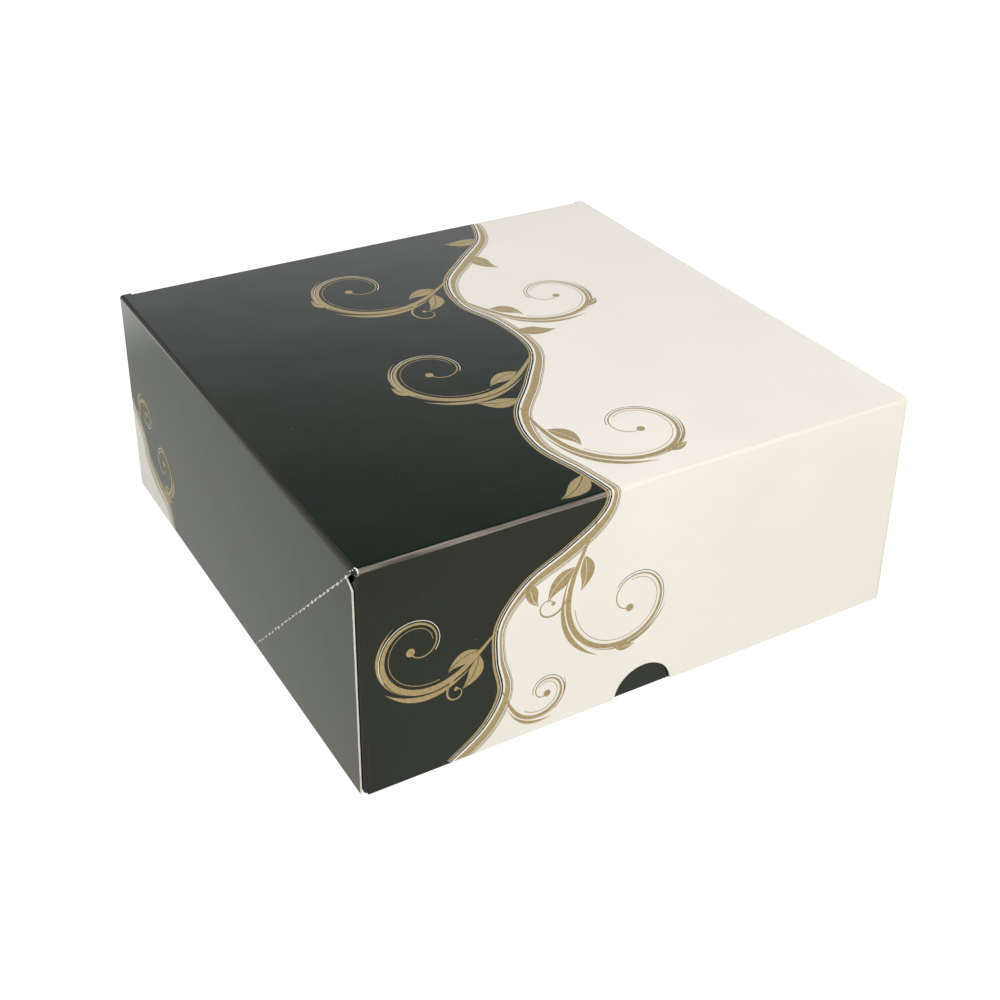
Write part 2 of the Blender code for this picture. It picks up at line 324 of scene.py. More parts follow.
def score(piece, blank, corners=True):
    """Cuts lines of edges across the flat piece wherever it will bend."""
    planes = []
    for u in crease_lines(blank.start_u, blank.flat_u, CREASE_STEPS):
        planes += [((u, 0, 0), (1, 0, 0)), ((-u, 0, 0), (1, 0, 0))]
    for end in blank.ends:
        for v in crease_lines(end.start_v, end.flat_v, CREASE_STEPS):
            planes.append(((0, end.sign * v, 0), (0, 1, 0)))
        if not corners:
            continue
        for across in crease_lines(0, CORNER_CREASE_RADIUS * math.pi / 2, CORNER_STEPS):
            for side in (-1, 1):
                away = (side, -end.sign * math.tan(blank.side_lean), 0)
                planes.append(((side * (blank.edge_u + across), end.sign * end.flat_v, 0), away))
    bpy.context.view_layer.objects.active = piece
    bpy.ops.object.mode_set(mode="EDIT")
    cut_edges(planes)
    bpy.ops.mesh.select_all(action="SELECT")
    bpy.ops.mesh.remove_doubles(threshold=SCORE_MERGE)
    bpy.ops.object.mode_set(mode="OBJECT")


def points_of(piece):
    """A piece's points as rows of x, y and z."""
    numbers = np.empty(len(piece.data.vertices) * 3)
    piece.data.vertices.foreach_get("co", numbers)
    return numbers.reshape(-1, 3)


def move_points(piece, points):
    """Puts a piece's points in new places, and shades it smoothly but for its sharp edges."""
    piece.data.vertices.foreach_set("co", points.ravel())
    piece.data.update()
    deselect_all()
    piece.select_set(True)
    bpy.context.view_layer.objects.active = piece
    bpy.ops.object.shade_smooth_by_angle(angle=SHARP_EDGE)


def bend(points, chosen, pivot, away, up, radius, angle, rib):
    """Rolls the chosen points round a crease: an arc from the pivot line on, then straight on."""
    away, up, pivot = np.array(away, float), np.array(up, float), np.array(pivot, float)
    away /= np.linalg.norm(away)
    offset = points - pivot
    along, height = offset @ away, offset @ up
    rest = offset - np.outer(along, away) - np.outer(height, up)
    turn = np.clip(along / radius, 0, angle)[:, None]
    run = np.maximum(along - radius * angle, 0)[:, None]
    groove = rib / 2 * (1 - np.cos(2 * math.pi * CREASE_RIBS * turn / angle))
    reach = radius + height[:, None] - groove
    moved = pivot - up * radius + rest
    moved = moved + reach * (np.sin(turn) * away + np.cos(turn) * up)
    moved = moved + run * (np.cos(turn) * away - np.sin(turn) * up)
    beyond = chosen & (along > 0)
    points[beyond] = moved[beyond]


def fold(piece, blank):
    """Folds a scored piece up: tabs, then ends, then sides. Board and ink go through the same bends,
    which keeps the ink a fiftieth of a millimetre above the board all the way round."""
    flat = points_of(piece)
    points = flat.copy()
    u = np.abs(flat[:, 0])
    in_ends = np.zeros(len(flat), bool)
    for end in blank.ends:
        v = end.sign * flat[:, 1]
        in_end = (v > end.flat_v + HAIR) & (u < blank.flat_u + TAB_ZONE)
        for side in (-1, 1):
            pivot = (side * blank.edge_u, end.sign * end.flat_v, blank.z)
            away = (side, -end.sign * math.tan(blank.side_lean), 0)
            on_side = in_end & (side * flat[:, 0] > 0)
            bend(points, on_side, pivot, away, blank.up, CORNER_CREASE_RADIUS, math.pi / 2, 0)
        turned = (v > end.start_v) & ((u < blank.flat_u + HAIR) | in_end)
        pivot = (0, end.sign * end.start_v, blank.z)
        bend(points, turned, pivot, (0, end.sign, 0), blank.up, blank.radius, end.angle, RIB_DEPTH)
        in_ends |= in_end
    for side in (-1, 1):
        turned = (side * flat[:, 0] > blank.start_u) & ~in_ends
        pivot = (side * blank.start_u, 0, blank.z)
        bend(points, turned, pivot, (side, 0, 0), blank.up, blank.radius, blank.side_angle, RIB_DEPTH)
    move_points(piece, points)


def give_finishes(piece, finishes, chooser=lambda centre, normal: 0):
    """Gives the flat sheet its finishes, and picks one for each face by its place and normal."""
    for finish in finishes:
        piece.data.materials.append(finish)
    for face in piece.data.polygons:
        face.material_index = chooser(face.center, face.normal)


def cut_side(normal):
    """Whether a face of the flat sheet is one of its cut sides, not its upper or lower face."""
    return abs(normal.z) < 0.5


def board_finish(blank):
    """Picks a board's finishes: 0 its print, 1 the print at a crease, 2 the inside, 3 a cut side."""

    def chooser(centre, normal):
        if cut_side(normal):
            return 3
        if normal.z * blank.up[2] < 0:
            return 2
        return int(blank.creased(centre))

    return chooser


def folding_corner(blank, end_index, height_u, height_v):
    """The blank's outline round a folding corner, from the side panel's free edge to the end panel's:
    gusset, relief cut, corner crease and tab."""
    end = blank.ends[end_index]
    face_v = end.start_v + blank.radius
    knee = GUSSET_KNEE_DROP - blank.radius
    end_slope = math.tan(end.lean)
    side_slope = math.tan(blank.side_lean)
    tab_end = height_v - TAB_END_GAP
    arc = CORNER_CREASE_RADIUS * math.pi / 2

    def beside(across, down):
        return (blank.edge_u + side_slope * down + across, end.flat_v + down - side_slope * across)

    return [
        (blank.flat_u + height_u, face_v - GUSSET_SETBACK + end_slope * height_u),
        (blank.flat_u + knee, face_v - GUSSET_SETBACK + end_slope * knee),
        (blank.flat_u + GUSSET_RELIEF - blank.radius, face_v - GUSSET_RELIEF),
        (blank.flat_u, end.start_v),
        (blank.flat_u, end.flat_v),
        beside(0, 0),
        beside(0, HOLD),
        beside(arc, CORNER_CREASE_RADIUS),
        beside(arc, TAB_TOP),
        beside(TAB_REACH, TAB_TOP + TAB_REACH - arc),
        beside(TAB_REACH, tab_end - TAB_TAPER),
        beside(arc, tab_end),
        beside(0, tab_end),
        beside(0, height_v),
    ]


def placed(outline, side, end):
    """An outline mirrored to one side and one end of the sheet."""
    return [(side * u, end * v) for u, v in outline]


def arc_points(x, y, radius, start, stop, steps):
    angles = [start + (stop - start) * step / steps for step in range(steps + 1)]
    return [(x + radius * math.cos(a), y + radius * math.sin(a)) for a in angles]


def thumb_notch(edge_y):
    """The half-moon from right to left, eased into the lower edge of the front."""
    reach = NOTCH_RADIUS + NOTCH_FILLET
    ease = math.asin((NOTCH_DROP + NOTCH_FILLET) / reach)
    across = reach * math.cos(ease)
    low = edge_y + NOTCH_FILLET
    left_x, right_x = NOTCH_OFFSET - across, NOTCH_OFFSET + across
    right = arc_points(right_x, low, NOTCH_FILLET, 1.5 * math.pi, math.pi + ease, FILLET_STEPS)
    middle_y = edge_y - NOTCH_DROP
    arch = arc_points(NOTCH_OFFSET, middle_y, NOTCH_RADIUS, ease, math.pi - ease, ARCH_STEPS)
    left = arc_points(left_x, low, NOTCH_FILLET, -ease, -math.pi / 2, FILLET_STEPS)
    return right + arch[1:-1] + left


lid_blank = Blank(
    z=top_z,
    up=(0, 0, 1),
    radius=TOP_CREASE_RADIUS,
    start_u=side_x - TOP_CREASE_RADIUS,
    side_lean=SIDE_LEAN,
    ends=[(-1, -(front_y + TOP_CREASE_RADIUS), FRONT_LEAN)],
    edge_u=side_x - GLUED_LAYER - CORNER_CREASE_RADIUS,
)
crease_y = back_y - TOP_CREASE_RADIUS
side_drop = top_z - TOP_CREASE_RADIUS * (1 - math.sin(SIDE_LEAN)) - SKIRT_GAP
front_drop = top_z - TOP_CREASE_RADIUS * (1 - math.sin(FRONT_LEAN)) - SKIRT_GAP
side_height = side_drop / math.cos(SIDE_LEAN)
front_height = front_drop / math.cos(FRONT_LEAN)
front_edge_y = -lid_blank.ends[0].flat_v - front_height
side_edge_x = lid_blank.flat_u + side_height
rear_y = back_y - LID_REAR_GAP
ear_x = hinge_half_width + HOLD / 2

lid_corner = folding_corner(lid_blank, 0, side_height, front_height)
lid_rear = [
    (side_edge_x, rear_y),
    (lid_blank.flat_u, rear_y),
    (lid_blank.flat_u, back_y),
    (ear_x, back_y),
    (ear_x, crease_y),
]
lid_outline = placed(lid_corner, 1, -1)
lid_outline += thumb_notch(front_edge_y)
lid_outline += placed(lid_corner, -1, -1)[::-1]
lid_outline += placed(lid_rear, -1, 1)
lid_outline += placed(lid_rear, 1, 1)[::-1]

lid_board = die_cut("lid_board", [lid_outline], top_z - BOARD, top_z)
score(lid_board, lid_blank)
give_finishes(lid_board, [cream_print, cream_crease, inner_board, cut_edge], board_finish(lid_blank))
fold(lid_board, lid_blank)
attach(lid_board, "lid")
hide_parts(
    "lid_top_panel",
    "lid_front_panel",
    "lid_front_crease",
    *[
        f"lid_{side}_{part}"
        for side in ("left", "right")
        for part in ("panel", "crease", "gusset", "tab", "corner_crease")
    ],
)

# The tray's board.
# The same sheet goes on past the hinge crease: back wall, base, front wall and two side walls, with a
# gusset and a glued tab at each of the four corners. Black outside, bare white lining inside. The base
# reaches the lid's front skirt, so the front wall leans in towards its rim: a negative lean.
BASE_CREASE_RADIUS = 0.0014
# How far the front wall's rim stands in over the wall's height, in millimetres
RIM_SETBACK = 3.4
WALL_RISE = 97.4
TRAY_FRONT_LEAN = -math.atan(RIM_SETBACK / WALL_RISE)

tray_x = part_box("tray_right_wall")[1].x
tray_front_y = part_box("base_front_crease")[0].y
rim_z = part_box("tray_right_wall")[1].z
wall_top_z = top_z - TOP_CREASE_RADIUS

black_print = printed_board("black_ink_satin_varnish", "0d1a12", "111e15", 0.2, 1.38, "9c988e", 0.3)
black_crease = rubbed_board("black_ink_at_crease", "1d1e19", "33332a", 0.55, 1.3, 0.35, 0.7, 1)

tray_blank = Blank(
    z=0,
    up=(0, 0, -1),
    radius=BASE_CREASE_RADIUS,
    start_u=tray_x - BASE_CREASE_RADIUS,
    side_lean=0,
    ends=[
        (-1, -tray_front_y - BASE_CREASE_RADIUS, TRAY_FRONT_LEAN),
        (1, back_y - BASE_CREASE_RADIUS, 0),
    ],
    edge_u=tray_x - GLUED_LAYER - CORNER_CREASE_RADIUS,
)
wall_height = rim_z - BASE_CREASE_RADIUS
front_wall_rise = rim_z - BASE_CREASE_RADIUS * (1 - math.sin(TRAY_FRONT_LEAN))
front_wall_height = front_wall_rise / math.cos(TRAY_FRONT_LEAN)
tray_front_corner = folding_corner(tray_blank, 0, wall_height, front_wall_height)
tray_back_corner = folding_corner(tray_blank, 1, wall_height, wall_top_z - BASE_CREASE_RADIUS)
tray_outline = placed(tray_front_corner, 1, -1)
tray_outline += placed(tray_front_corner, -1, -1)[::-1]
tray_outline += placed(tray_back_corner, -1, 1)
tray_outline += placed(tray_back_corner, 1, 1)[::-1]

tray_board = die_cut("tray_board", [tray_outline], 0, BOARD)
score(tray_board, tray_blank)
give_finishes(tray_board, [black_print, black_crease, inner_board, cut_edge], board_finish(tray_blank))
fold(tray_board, tray_blank)
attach(tray_board, "tray")
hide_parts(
    "base_panel",
    *[f"base_{edge}_crease" for edge in ("front", "back", "left", "right")],
    *[f"tray_{edge}_wall" for edge in ("front", "back", "left", "right")],
    *[
        f"tray_{end}_{side}_{part}"
        for end in ("front", "back")
        for side in ("left", "right")
        for part in ("gusset", "tab", "corner_crease")
    ],
)

# The hinge crease.
# The strip of the same board between the back wall and the lid's top, the only one that still bends in
# use. It is black and cream like the panels that it joins, and one row of it takes the lid's turn.
arc_length = TOP_CREASE_RADIUS * math.pi / 2
# Where black meets cream along the strip
FIELD_END_X = 0.058
# The row of the bend, counted from the lid, where the board turns over and its ink has cracked off
CRACK_ROW = 8

hinge_outline = [
    (-hinge_half_width, crease_y),
    (hinge_half_width, crease_y),
    (hinge_half_width, crease_y + arc_length),
    (-hinge_half_width, crease_y + arc_length),
]
hinge_board = die_cut("hinge_board", [hinge_outline], top_z - BOARD, top_z)
bpy.ops.object.mode_set(mode="EDIT")
hinge_scores = [((FIELD_END_X, 0, 0), (1, 0, 0))]
for step in range(1, CREASE_STEPS):
    hinge_scores.append(((0, crease_y + arc_length * step / CREASE_STEPS, 0), (0, 1, 0)))
cut_edges(hinge_scores)
bpy.ops.object.mode_set(mode="OBJECT")


def hinge_finish(centre, normal):
    """Picks the strip's finishes: 0 cream, 1 black, 2 the inside, 3 a cut side or the cracked row."""
    row = CREASE_STEPS * (centre.y - crease_y) / arc_length
    if cut_side(normal) or (normal.z > 0 and CRACK_ROW < row < CRACK_ROW + 1):
        return 3
    return 2 if normal.z < 0 else int(centre.x < FIELD_END_X)


give_finishes(hinge_board, [cream_crease, black_crease, inner_board, cut_edge], hinge_finish)
hinge_points = points_of(hinge_board)
bend(
    hinge_points,
    np.ones(len(hinge_points), bool),
    (0, crease_y, top_z),
    (0, 1, 0),
    (0, 0, 1),
    TOP_CREASE_RADIUS,
    math.pi / 2,
    RIB_DEPTH,
)
move_points(hinge_board, hinge_points)
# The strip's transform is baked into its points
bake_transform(hinge_board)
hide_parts("hinge_crease")

# The black field of the lid's print.
# Black ink over the cream, up to a flowing boundary that crosses the top and runs down the front, and
# down to a cream corner at the rear of the left skirt. Measured in the flat sheet, in millimetres.
INK = 0.00002
# The shares of a bend where the front crease's rubbed ink with its painted highlight starts, and where a
# side crease stays glossy
LIT_RUB_START = 0.3
GLOSS_START = 0.66
# How far the black bleeds on to the tab, as a share of the tab's width
BLEED = 0.12

top_border = [
    (58, 121.7),
    (50, 103),
    (31, 85),
    (13, 66),
    (7, 42),
    (13, 18),
    (12, -10),
    (-4, -34),
    (-22, -56),
    (-28, -80),
    (-23, -104),
    (-21, -121),
]
front_border = [
    (-26, -130),
    (-40, -139),
    (-57, -148),
    (-68, -162),
    (-69, -178),
    (-67, -194),
    (-75, -208),
    (-90, 1000 * front_edge_y),
]
rear_border = [
    (-1000 * side_edge_x, 76),
    (-213, 82),
    (-208, 94),
    (-201, 104),
    (-189, 109),
    (-176, 1000 * rear_y),
]


def flowing(points, steps=10):
    """A smooth line through given points."""
    points = np.array(points, float)
    held = np.vstack((points[:1], points, points[-1:]))
    path = []
    for before, first, last, after in zip(held, held[1:], held[2:], held[3:]):
        for t in np.arange(steps) / steps:
            line = 2 * first + (last - before) * t
            line += (2 * before - 5 * first + 4 * last - after) * t**2
            line += (3 * first - before - 3 * last + after) * t**3
            path.append(line / 2)
    return np.vstack((path, points[-1:]))


def in_metres(outline):
    return [(x / 1000, y / 1000) for x, y in outline]


border = flowing(top_border + front_border)
rear_corner = flowing(rear_border)
# The tab's upper root and tip and its lower tip and root are four points of the corner's outline
TAB_ROOT = 8
upper_root, upper_tip, lower_tip, lower_root = map(np.array, lid_corner[TAB_ROOT : TAB_ROOT + 4])
tab_bleed = [
    tuple(upper_root + BLEED * (upper_tip - upper_root)),
    tuple(lower_root + BLEED * (lower_tip - lower_root)),
]
before_tip = lid_corner[: TAB_ROOT + 1]
after_tip = lid_corner[TAB_ROOT + 3 :]
black_corner = placed(before_tip + tab_bleed + after_tip, -1, -1)[::-1]
black_outline = in_metres(border) + black_corner
black_outline += in_metres(rear_corner) + placed(lid_rear[1:], -1, 1)

# The front crease is rubbed brown from a little below its upper edge, its pale streaks partly a painted
# highlight; the side creases are dull and dark down to a glossy lower rim
# The pale end of this colour is partly painted highlight: the lamps' gleam on the front crease painted
# into the worn ink
lit_rubbed_crease = rubbed_board("black_ink_rubbed_off_painted_highlight", "3d362e", "9b9084", 0.5, 1.45, 0.38, 0.66, 0)
upright_crease = rubbed_board("black_ink_at_upright_crease", "171812", "28271f", 0.5, 1.4, 0.4, 0.75, 2)


def black_finish(centre, normal):
    """Picks the ink's finishes: 0 flat, 1 at a side crease, 2 rubbed with a painted highlight at the
    front's, 3 at an upright.
    """
    if not lid_blank.creased(centre):
        return 0
    front = lid_blank.ends[0]
    v = -centre.y
    if abs(centre.x) < lid_blank.start_u and v < front.flat_v:
        return 2 if v > front.start_v + LIT_RUB_START * (front.flat_v - front.start_v) else 0
    if v > front.flat_v:
        return 3
    folded = (abs(centre.x) - lid_blank.start_u) / (lid_blank.flat_u - lid_blank.start_u)
    return 0 if folded > GLOSS_START else 1


black_field = die_cut("black_field", [black_outline], top_z - HAIR, top_z + INK)
score(black_field, lid_blank)
give_finishes(black_field, [black_print, black_crease, lit_rubbed_crease, upright_crease], black_finish)
fold(black_field, lid_blank)
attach(black_field, "lid")

# The cream field on the back wall.
# Cream ink printed over the tray's black: it carries on from the lid, over the hinge crease and down the
# back. Measured in the tray's flat sheet, in millimetres.
back_flat_v = 1000 * tray_blank.ends[1].flat_v
back_height = 1000 * (wall_top_z - BASE_CREASE_RADIUS)
back_border = flowing(
    [
        (58, back_flat_v + back_height),
        (67, back_flat_v + 80),
        (70, back_flat_v + 60),
        (60, back_flat_v + 40),
        (55, back_flat_v + 22),
        (62, back_flat_v),
    ]
)
back_edge = 1000 * tray_blank.edge_u
back_outline = in_metres(back_border) + in_metres(
    [(back_edge, back_flat_v), (back_edge, back_flat_v + back_height)]
)
back_field = die_cut("back_cream_field", [back_outline], -INK, HAIR)
give_finishes(back_field, [cream_print])
fold(back_field, tray_blank)
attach(back_field, "tray")

# The gold scrollwork.
# Gold ink printed over both fields in a running scroll: a stem along the boundary, side shoots that curl
# up to a bud on alternate sides, and pointed leaves with the ground showing as their vein.
GOLD_INK = 0.00003
# Each stroke lies this much above the last, so that no two share a face
GOLD_LAYER = 0.0000006
# In millimetres: the width left at a pointed end, the room left at a cut edge, and half a leaf's vein
TIP = 0.06
MARGIN = 0.2
VEIN = 0.14
# The share of a leaf's length that is stalk, and its narrower half's share of the wider one's width
STALK = 0.1
NARROW_HALF = 0.75
BUD_SIDES = 16
# A volute's nearly straight share, the share of its radius that it loses as it rolls up, and the turn
# in radians that it would make without losing any
LEAD = 0.24
TIGHTENING = 0.84
ROLL = 4.9


def tendril(start, heading, length, first, last, steps=80):
    """A stem that turns ever tighter, from the first to the last turn per millimetre, in degrees."""
    point = np.array(start, float)
    angle = math.radians(heading)
    path = []
    step = length / steps
    for number in range(steps + 1):
        path.append(point)
        turn = math.radians(first + (last - first) * number / steps) * step
        point = point + step * np.array((math.cos(angle + turn / 2), math.sin(angle + turn / 2)))
        angle += turn
    return np.array(path)


def volute(start, heading, length, curl, steps=90):
    """A stem that runs out nearly straight and then rolls up like a fern, about 500 degrees of it."""
    point = np.array(start, float)
    angle = math.radians(heading)
    path = []
    for number in range(steps + 1):
        path.append(point)
        share = number / steps
        rolled = max(share - LEAD, 0) / (1 - LEAD)
        tightness = min(share / LEAD, 1) ** 1.5 / (1 - TIGHTENING * rolled)
        turn = curl * ROLL * tightness / steps
        angle += turn / 2
        point = point + length / steps * np.array((math.cos(angle), math.sin(angle)))
        angle += turn / 2
    return np.array(path)


def on_board(outline):
    """Keeps an outline in millimetres clear of the lid's cut edges, and gives it in metres."""
    side = 1000 * side_edge_x - MARGIN
    low = 1000 * front_edge_y + MARGIN
    high = 1000 * crease_y
    return in_metres([(max(x, -side), min(max(y, low), high)) for x, y in outline])


def ribbon(path, near, far, finished=on_board):
    """The band beside a path between two distances to its left in millimetres, each a function of the
    share run."""
    along = np.gradient(path, axis=0)
    along /= np.linalg.norm(along, axis=1)[:, None]
    left = np.stack((-along[:, 1], along[:, 0]), 1)
    share = np.linspace(0, 1, len(path))
    # Adding 0 * share spreads a distance that is one number along the whole path
    sides = [path + left * (distance(share) + 0 * share)[:, None] for distance in (near, far)]
    return finished([*sides[0], *sides[1][::-1]])


def heading_at(path, share):
    """A point of the path and the way it runs there, in degrees."""
    place = int(share * (len(path) - 2))
    x, y = path[place + 1] - path[place]
    return path[place], math.degrees(math.atan2(y, x))


def leaf(base, heading, length, width, curl):
    """Two halves of a pointed leaf on a short stalk, with its vein left open between them."""
    middle = tendril(base, heading, length, 0.4 * curl / length, 1.6 * curl / length, 20)

    def swell(share):
        return np.sin(math.pi * np.clip((share - STALK) / (1 - STALK), 0, 1) ** 0.8) ** 1.4

    return [
        ribbon(middle, lambda t: VEIN, lambda t: VEIN + TIP + width * swell(t)),
        ribbon(middle, lambda t: -VEIN, lambda t: -VEIN - TIP - NARROW_HALF * width * swell(t)),
    ]


def bud(centre, radius):
    last = 2 * math.pi * (BUD_SIDES - 1) / BUD_SIDES
    return on_board(arc_points(*centre, radius, 0, last, BUD_SIDES - 1))


def sliver(path, side, gap, width, flick):
    """A pointed stroke beside a path that swells past its middle, its end flicked off the path."""
    return ribbon(
        path,
        lambda t: side * (gap + flick * t**5),
        lambda t: side * (gap + TIP + flick * t**5 + width * np.sin(math.pi * t**1.4) ** 1.2),
    )


def shoot(path, share, turn, curl, length, weight, twig, leaves):
    """A side shoot that leaves the path at an angle and rolls up, to the left or right (curl 1 or -1),
    to a bud: thick and thin like pen work, with slivers outside its bends and a fine companion line.
    Its twig turns away from it, a share of its length. Leaves are given by place, side (1 is outside),
    share of its length and angle."""
    base, heading = heading_at(path, share)
    stem = volute(base, heading + turn, length, curl)
    # The stem itself, two slivers outside its bends, the companion line inside and the bud
    outlines = [
        ribbon(
            stem,
            lambda t: curl * (0.22 + 0.5 * weight * np.sin(math.pi * t**0.5) ** 2),
            lambda t: -curl * (0.22 + 1.3 * weight * np.sin(math.pi * t**0.62) ** 2),
        ),
        sliver(stem[12:42], -curl, 0.75 + 1.3 * weight, 1.9 * weight, 2.2),
        sliver(stem[36:62], -curl, 0.6 + 1.1 * weight, 0.8 * weight, 1.5),
        ribbon(
            stem[24:78],
            lambda t: curl * (1.4 + 0.8 * weight - 0.9 * t),
            lambda t: curl * (1.7 + 0.8 * weight - 0.95 * t),
        ),
        bud(stem[-1], 1.3 + 0.4 * weight),
    ]
    if twig:
        spot, way = heading_at(stem, 0.2)
        reach = twig * length
        away = tendril(spot, way - curl * 14, reach, 36 * curl / reach, -700 * curl / reach, 40)
        outlines.append(ribbon(away, lambda t: 0.15 + 0.6 * np.sin(math.pi * t**0.6), lambda t: -0.15))
        outlines.append(bud(away[-1], 0.9))
    for place, flank, size, angle in leaves:
        spot, way = heading_at(stem, place)
        reach = size * length
        way -= curl * flank * angle
        outlines += leaf(spot, way, reach, 0.19 * reach, curl * flank * 55)
    return stem, outlines


def stem_width(share):
    """The boundary stem's width in millimetres, which swells three and a half times along it."""
    return 0.9 + 2.4 * np.sin(math.pi * (3.5 * share + 0.15)) ** 2


# The boundary's stem, a fine line beside it on the cream and a stroke on the black, and then the rear
# corner's two strokes
gold_outlines = [
    ribbon(border, lambda t: 0.9, lambda t: 0.9 + stem_width(t)),
    ribbon(border, lambda t: stem_width(t) + 1.9, lambda t: stem_width(t) + 2.2),
    ribbon(border, lambda t: -1.5, lambda t: -1.95 - 0.6 * np.sin(9 * t) ** 2),
    ribbon(rear_corner, lambda t: -0.8, lambda t: -1.9 - 2.6 * np.sin(math.pi * t**0.7) ** 2),
    ribbon(rear_corner, lambda t: 3.4, lambda t: 3.9 + 0.9 * np.sin(math.pi * t) ** 2),
]
full_leaves = ((0.13, 1, 0.13, 46), (0.09, -1, 0.12, 42), (0.5, 1, 0.08, 30))
inner_leaves = ((0.13, -1, 0.13, 42), (0.5, 1, 0.08, 30))
light_leaves = ((0.12, 1, 0.12, 44), (0.42, -1, 0.06, 44))
edge_leaves = ((0.11, 1, 0.15, 44), (0.1, -1, 0.14, 40))
# Each shoot: the ground that it lies on, the line that it grows from, the share of it run, its turn off
# it, curl, length, weight, twig and leaves. The cream is to the border's left, the black to its right.
shoots = {"black": [], "cream": []}
for ground, path, share, turn, curl, length, weight, twig, leaves in (
    ("black", border, 0.15, -16, -1, 150, 1.2, 0.24, full_leaves),
    ("cream", border, 0.2, 26, 1, 142, 1.0, 0, inner_leaves),
    ("black", border, 0.325, -20, -1, 150, 1.2, 0, inner_leaves),
    ("cream", border, 0.415, 30, 1, 152, 1.1, 0, inner_leaves),
    ("cream", border, 0.645, 26, 1, 146, 1.1, 0.2, full_leaves),
    ("black", border, 0.8, -34, -1, 112, 1.2, 0.22, edge_leaves),
    ("cream", border, 0.9, 34, 1, 66, 0.7, 0, ()),
    ("black", rear_corner, 0.84, -30, -1, 48, 0.8, 0, light_leaves),
    ("black", rear_corner[::-1], 0.7, 40, 1, 62, 0.9, 0, edge_leaves),
):
    stem, outlines = shoot(path, share, turn, curl, length, weight, twig, leaves)
    shoots[ground].append((stem, curl))
    gold_outlines += outlines
# Loose leaves that fill the gaps along the stem
for share, turn, length, curl in (
    (0.05, -40, 20, -50),
    (0.09, 42, 22, 55),
    (0.285, 44, 20, 50),
    (0.4, -42, 20, -55),
    (0.53, -46, 22, -50),
    (0.74, 50, 14, 50),
):
    spot, way = heading_at(border, share)
    gold_outlines += leaf(spot, way + turn, length, 0.2 * length, curl)

# Bronze pigment in varnish: grains 1 mm apart, coarser than the real ones so that they show
gold_ink, tree, shader, place = new_finish("gold_ink_satin_varnish", 0.36, 1.45)
shader.inputs["Metallic"].default_value = 0.2
flakes = add(tree, "TexNoise", {"Scale": 900, "Detail": 4, "Roughness": 0.7}, {"Vector": place})
tree.links.new(
    cloudy_colour(tree, flakes.outputs["Fac"], "9b875b", "b7a376"), shader.inputs["Base Color"]
)
glint = add(tree, "MapRange", {"To Min": 0.28, "To Max": 0.46}, {"Value": flakes.outputs["Fac"]})
tree.links.new(glint.outputs["Result"], shader.inputs["Roughness"])

gold_scroll = die_cut("gold_scroll", gold_outlines, top_z, top_z + GOLD_INK, GOLD_LAYER)
score(gold_scroll, lid_blank, corners=False)
give_finishes(gold_scroll, [gold_ink])
fold(gold_scroll, lid_blank)
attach(gold_scroll, "lid")


# The gold on the back wall.
# The same gold ink: the boundary's stem and the stroke beside it go on down the back of the tray,
# between the creases above and below the wall.
def on_back_wall(outline):
    """Keeps an outline in millimetres clear of the wall's two creases, and gives it in metres."""
    low = back_flat_v
    high = back_flat_v + back_height
    return in_metres([(x, min(max(y, low), high)) for x, y in outline])


back_gold_stem = die_cut(
    "back_gold_stem",
    [
        ribbon(back_border, lambda t: 0.9, lambda t: 0.9 + stem_width(t), on_back_wall),
        ribbon(back_border, lambda t: -1.5, lambda t: -1.95 - 0.6 * np.sin(9 * t) ** 2, on_back_wall),
    ],
    -GOLD_INK,
    HAIR,
)
give_finishes(back_gold_stem, [gold_ink])
fold(back_gold_stem, tray_blank)
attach(back_gold_stem, "tray")


# The hairlines.
# Fine lines beside the gold: left unprinted in the black field, so that they show the cream below, and
# printed in black on the cream.
def beside_shoots(ground):
    """A fine line outside the bend of each shoot on this ground."""
    return [
        ribbon(stem[44:82], lambda t: -curl * (1.7 - 0.6 * t), lambda t: -curl * (2 - 0.65 * t))
        for stem, curl in shoots[ground]
    ]


cream_lines = [ribbon(border, lambda t: -0.75, lambda t: -1.05), *beside_shoots("black")]
black_lines = [
    ribbon(border, lambda t: 1.35 + stem_width(t), lambda t: 1.6 + stem_width(t)),
    ribbon(rear_corner, lambda t: 1.3, lambda t: 1.6),
    ribbon(rear_corner, lambda t: 2.3, lambda t: 2.55),
    *beside_shoots("cream"),
]
for name, outlines, finish, slot in (
    ("cream_hairlines", cream_lines, cream_print, "printed_cream_board"),
    ("black_hairlines", black_lines, black_print, "printed_black_board"),
):
    hairlines = die_cut(name, outlines, top_z, top_z + 0.9 * GOLD_INK, GOLD_LAYER)
    score(hairlines, lid_blank, corners=False)
    give_finishes(hairlines, [finish])
    fold(hairlines, lid_blank)
    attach(hairlines, "lid")

# The torn perforations.
# Each front corner folds on a cut-crease at 45 degrees, with a short cut every 5.4 mm. The ink breaks
# there and shows white fibres, most of all at the upper end, where three folds meet.
PITCH = 5.4
PERFORATED = 136.5
# How many times its drawn size a patch is at the upper end, and how much less at the lower end
FIRST_TEAR = 1.4
TEAR_FADE = 0.35
FIBRE = 0.00007
# In millimetres, how wide the print is worn off along the notch
RIM_WEAR = 0.4
dice = random.Random(11)


def torn_fleck(x, y, length, width, heading):
    """A ragged patch of bare fibres, seven to ten points round."""
    count = dice.randint(7, 10)
    cos = math.cos(heading)
    sin = math.sin(heading)
    fleck = []
    for number in range(count):
        angle = 2 * math.pi * number / count
        ragged = dice.uniform(0.55, 1.1)
        a = ragged * length / 2 * math.cos(angle)
        b = ragged * width / 2 * math.sin(angle)
        fleck.append((x + a * cos - b * sin, y + a * sin + b * cos))
    return on_board(fleck)


